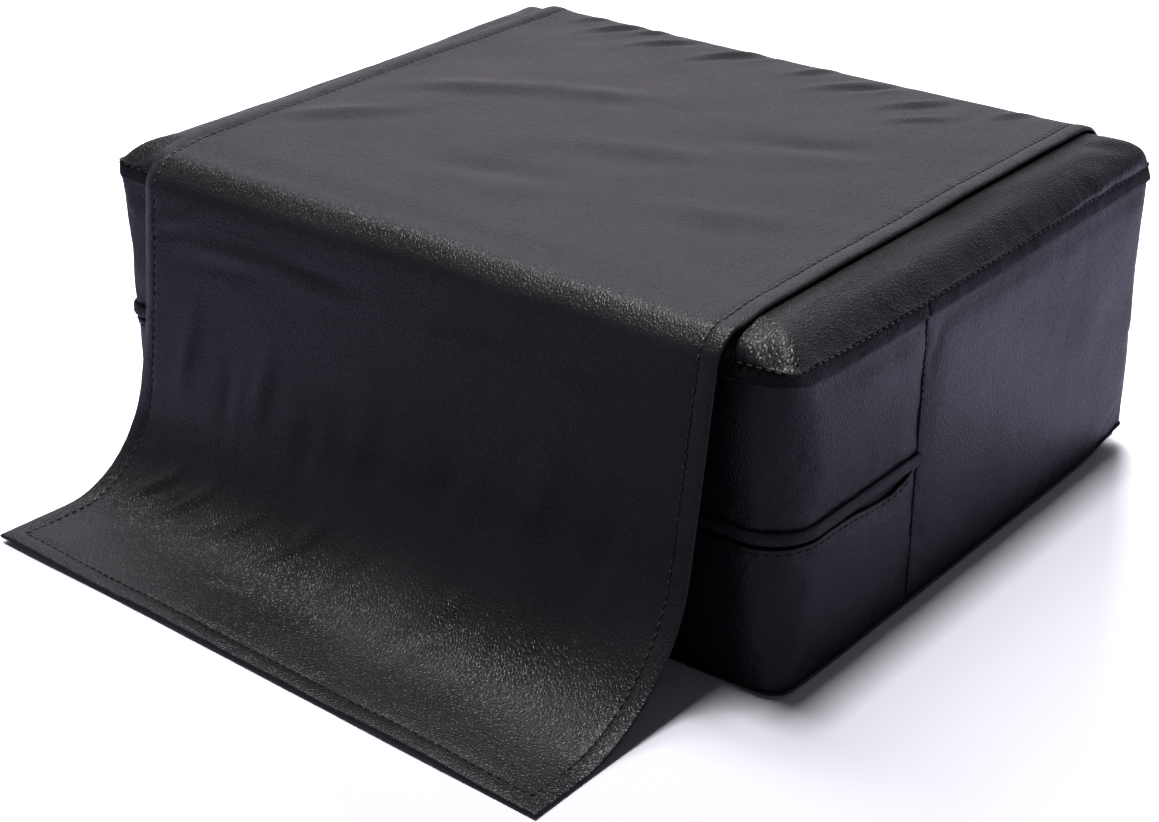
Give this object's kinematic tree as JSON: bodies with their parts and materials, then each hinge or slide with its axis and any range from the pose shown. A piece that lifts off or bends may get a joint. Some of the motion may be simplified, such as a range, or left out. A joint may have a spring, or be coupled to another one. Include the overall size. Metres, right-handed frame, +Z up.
{
  "type": "salon booster cushion",
  "caption": "Black leatherette child's booster cushion for a salon chair, zipped cover over foam, with a long hemmed apron that lies over the seat and hangs to the floor in front.",
  "frame": {"origin": "middle of the cushion's underside, on the floor plane", "axes": "+Z up; -Y towards the front, where the apron hangs; +X to the right of someone looking at the front"},
  "size_m": [0.4556, 0.5031, 0.19],
  "materials": {
    "cover_leatherette": "satin, litchi grain",
    "apron_leatherette": "satin, litchi grain",
    "lip_leatherette": "matt, fine grain",
    "firm_foam": "matt open cell",
    "soft_foam": "matt open cell",
    "zip_tape": "woven",
    "zip_coil": "semi-matt",
    "zip_metal": "black lacquer",
    "sewing_thread": "twisted thread"
  },
  "bodies": {
    "cushion": {"top_panel": "cover_leatherette", "rear_boxing": "cover_leatherette", "front_upper_boxing": "cover_leatherette", "front_lower_boxing": "cover_leatherette", "bottom_panel": "cover_leatherette", "zip_lip_left": "lip_leatherette", "zip_lip_right": "lip_leatherette", "zip_tape_upper": "zip_tape", "zip_tape_lower": "zip_tape", "zip_coil_upper": "zip_coil", "zip_coil_lower": "zip_coil", "zip_start_stop": "zip_metal", "zip_end_stop": "zip_metal", "foam_core": "firm_foam", "foam_topper": "soft_foam", "top_seam_thread": "sewing_thread", "bottom_seam_thread": "sewing_thread", "lower_boxing_thread": "sewing_thread", "side_seam_thread_left": "sewing_thread", "side_seam_thread_right": "sewing_thread", "apron_rear_seam_thread": "sewing_thread"},
    "zip_lip": {"zip_lip_front": "lip_leatherette"},
    "zip_slider": {"zip_slider": "zip_metal"},
    "zip_pull": {"zip_pull_ring": "zip_metal", "zip_pull_tab": "apron_leatherette"},
    "apron_seat": {"apron_seat_sheet": "apron_leatherette", "apron_seat_thread_left": "sewing_thread", "apron_seat_thread_right": "sewing_thread"},
    "apron_front": {"apron_front_sheet": "apron_leatherette", "apron_front_thread_left": "sewing_thread", "apron_front_thread_right": "sewing_thread"},
    "apron_toe": {"apron_toe_sheet": "apron_leatherette", "apron_toe_thread": "sewing_thread"}
  },
  "joints": [
    {"name": "apron_lift", "type": "hinge", "parent": "cushion", "child": "apron_seat", "pos_m": [0, 0.174, 0.18352], "axis": [-1, 0, 0], "range_deg": [0, 175]},
    {"name": "apron_front_swing", "type": "hinge", "parent": "apron_seat", "child": "apron_front", "pos_m": [0, -0.18798, 0.18224], "axis": [-1, 0, 0], "range_deg": [0, 160]},
    {"name": "apron_toe_bend", "type": "hinge", "parent": "apron_front", "child": "apron_toe", "pos_m": [0, -0.23894, 0.02069], "axis": [-1, 0, 0], "range_deg": [0, 60]},
    {"name": "zip_slide", "type": "slide", "parent": "cushion", "child": "zip_slider", "axis": [1, 0, 0], "range_m": [0, 0.34]},
    {"name": "zip_pull_swing", "type": "hinge", "parent": "zip_slider", "child": "zip_pull", "pos_m": [-0.17, -0.1819, 0.0772], "axis": [-1, 0, 0], "range_deg": [0, 90]},
    {"name": "zip_lip_lift", "type": "hinge", "parent": "cushion", "child": "zip_lip", "pos_m": [0, -0.1808, 0.0885], "axis": [-1, 0, 0], "range_deg": [0, 60]}
  ]
}
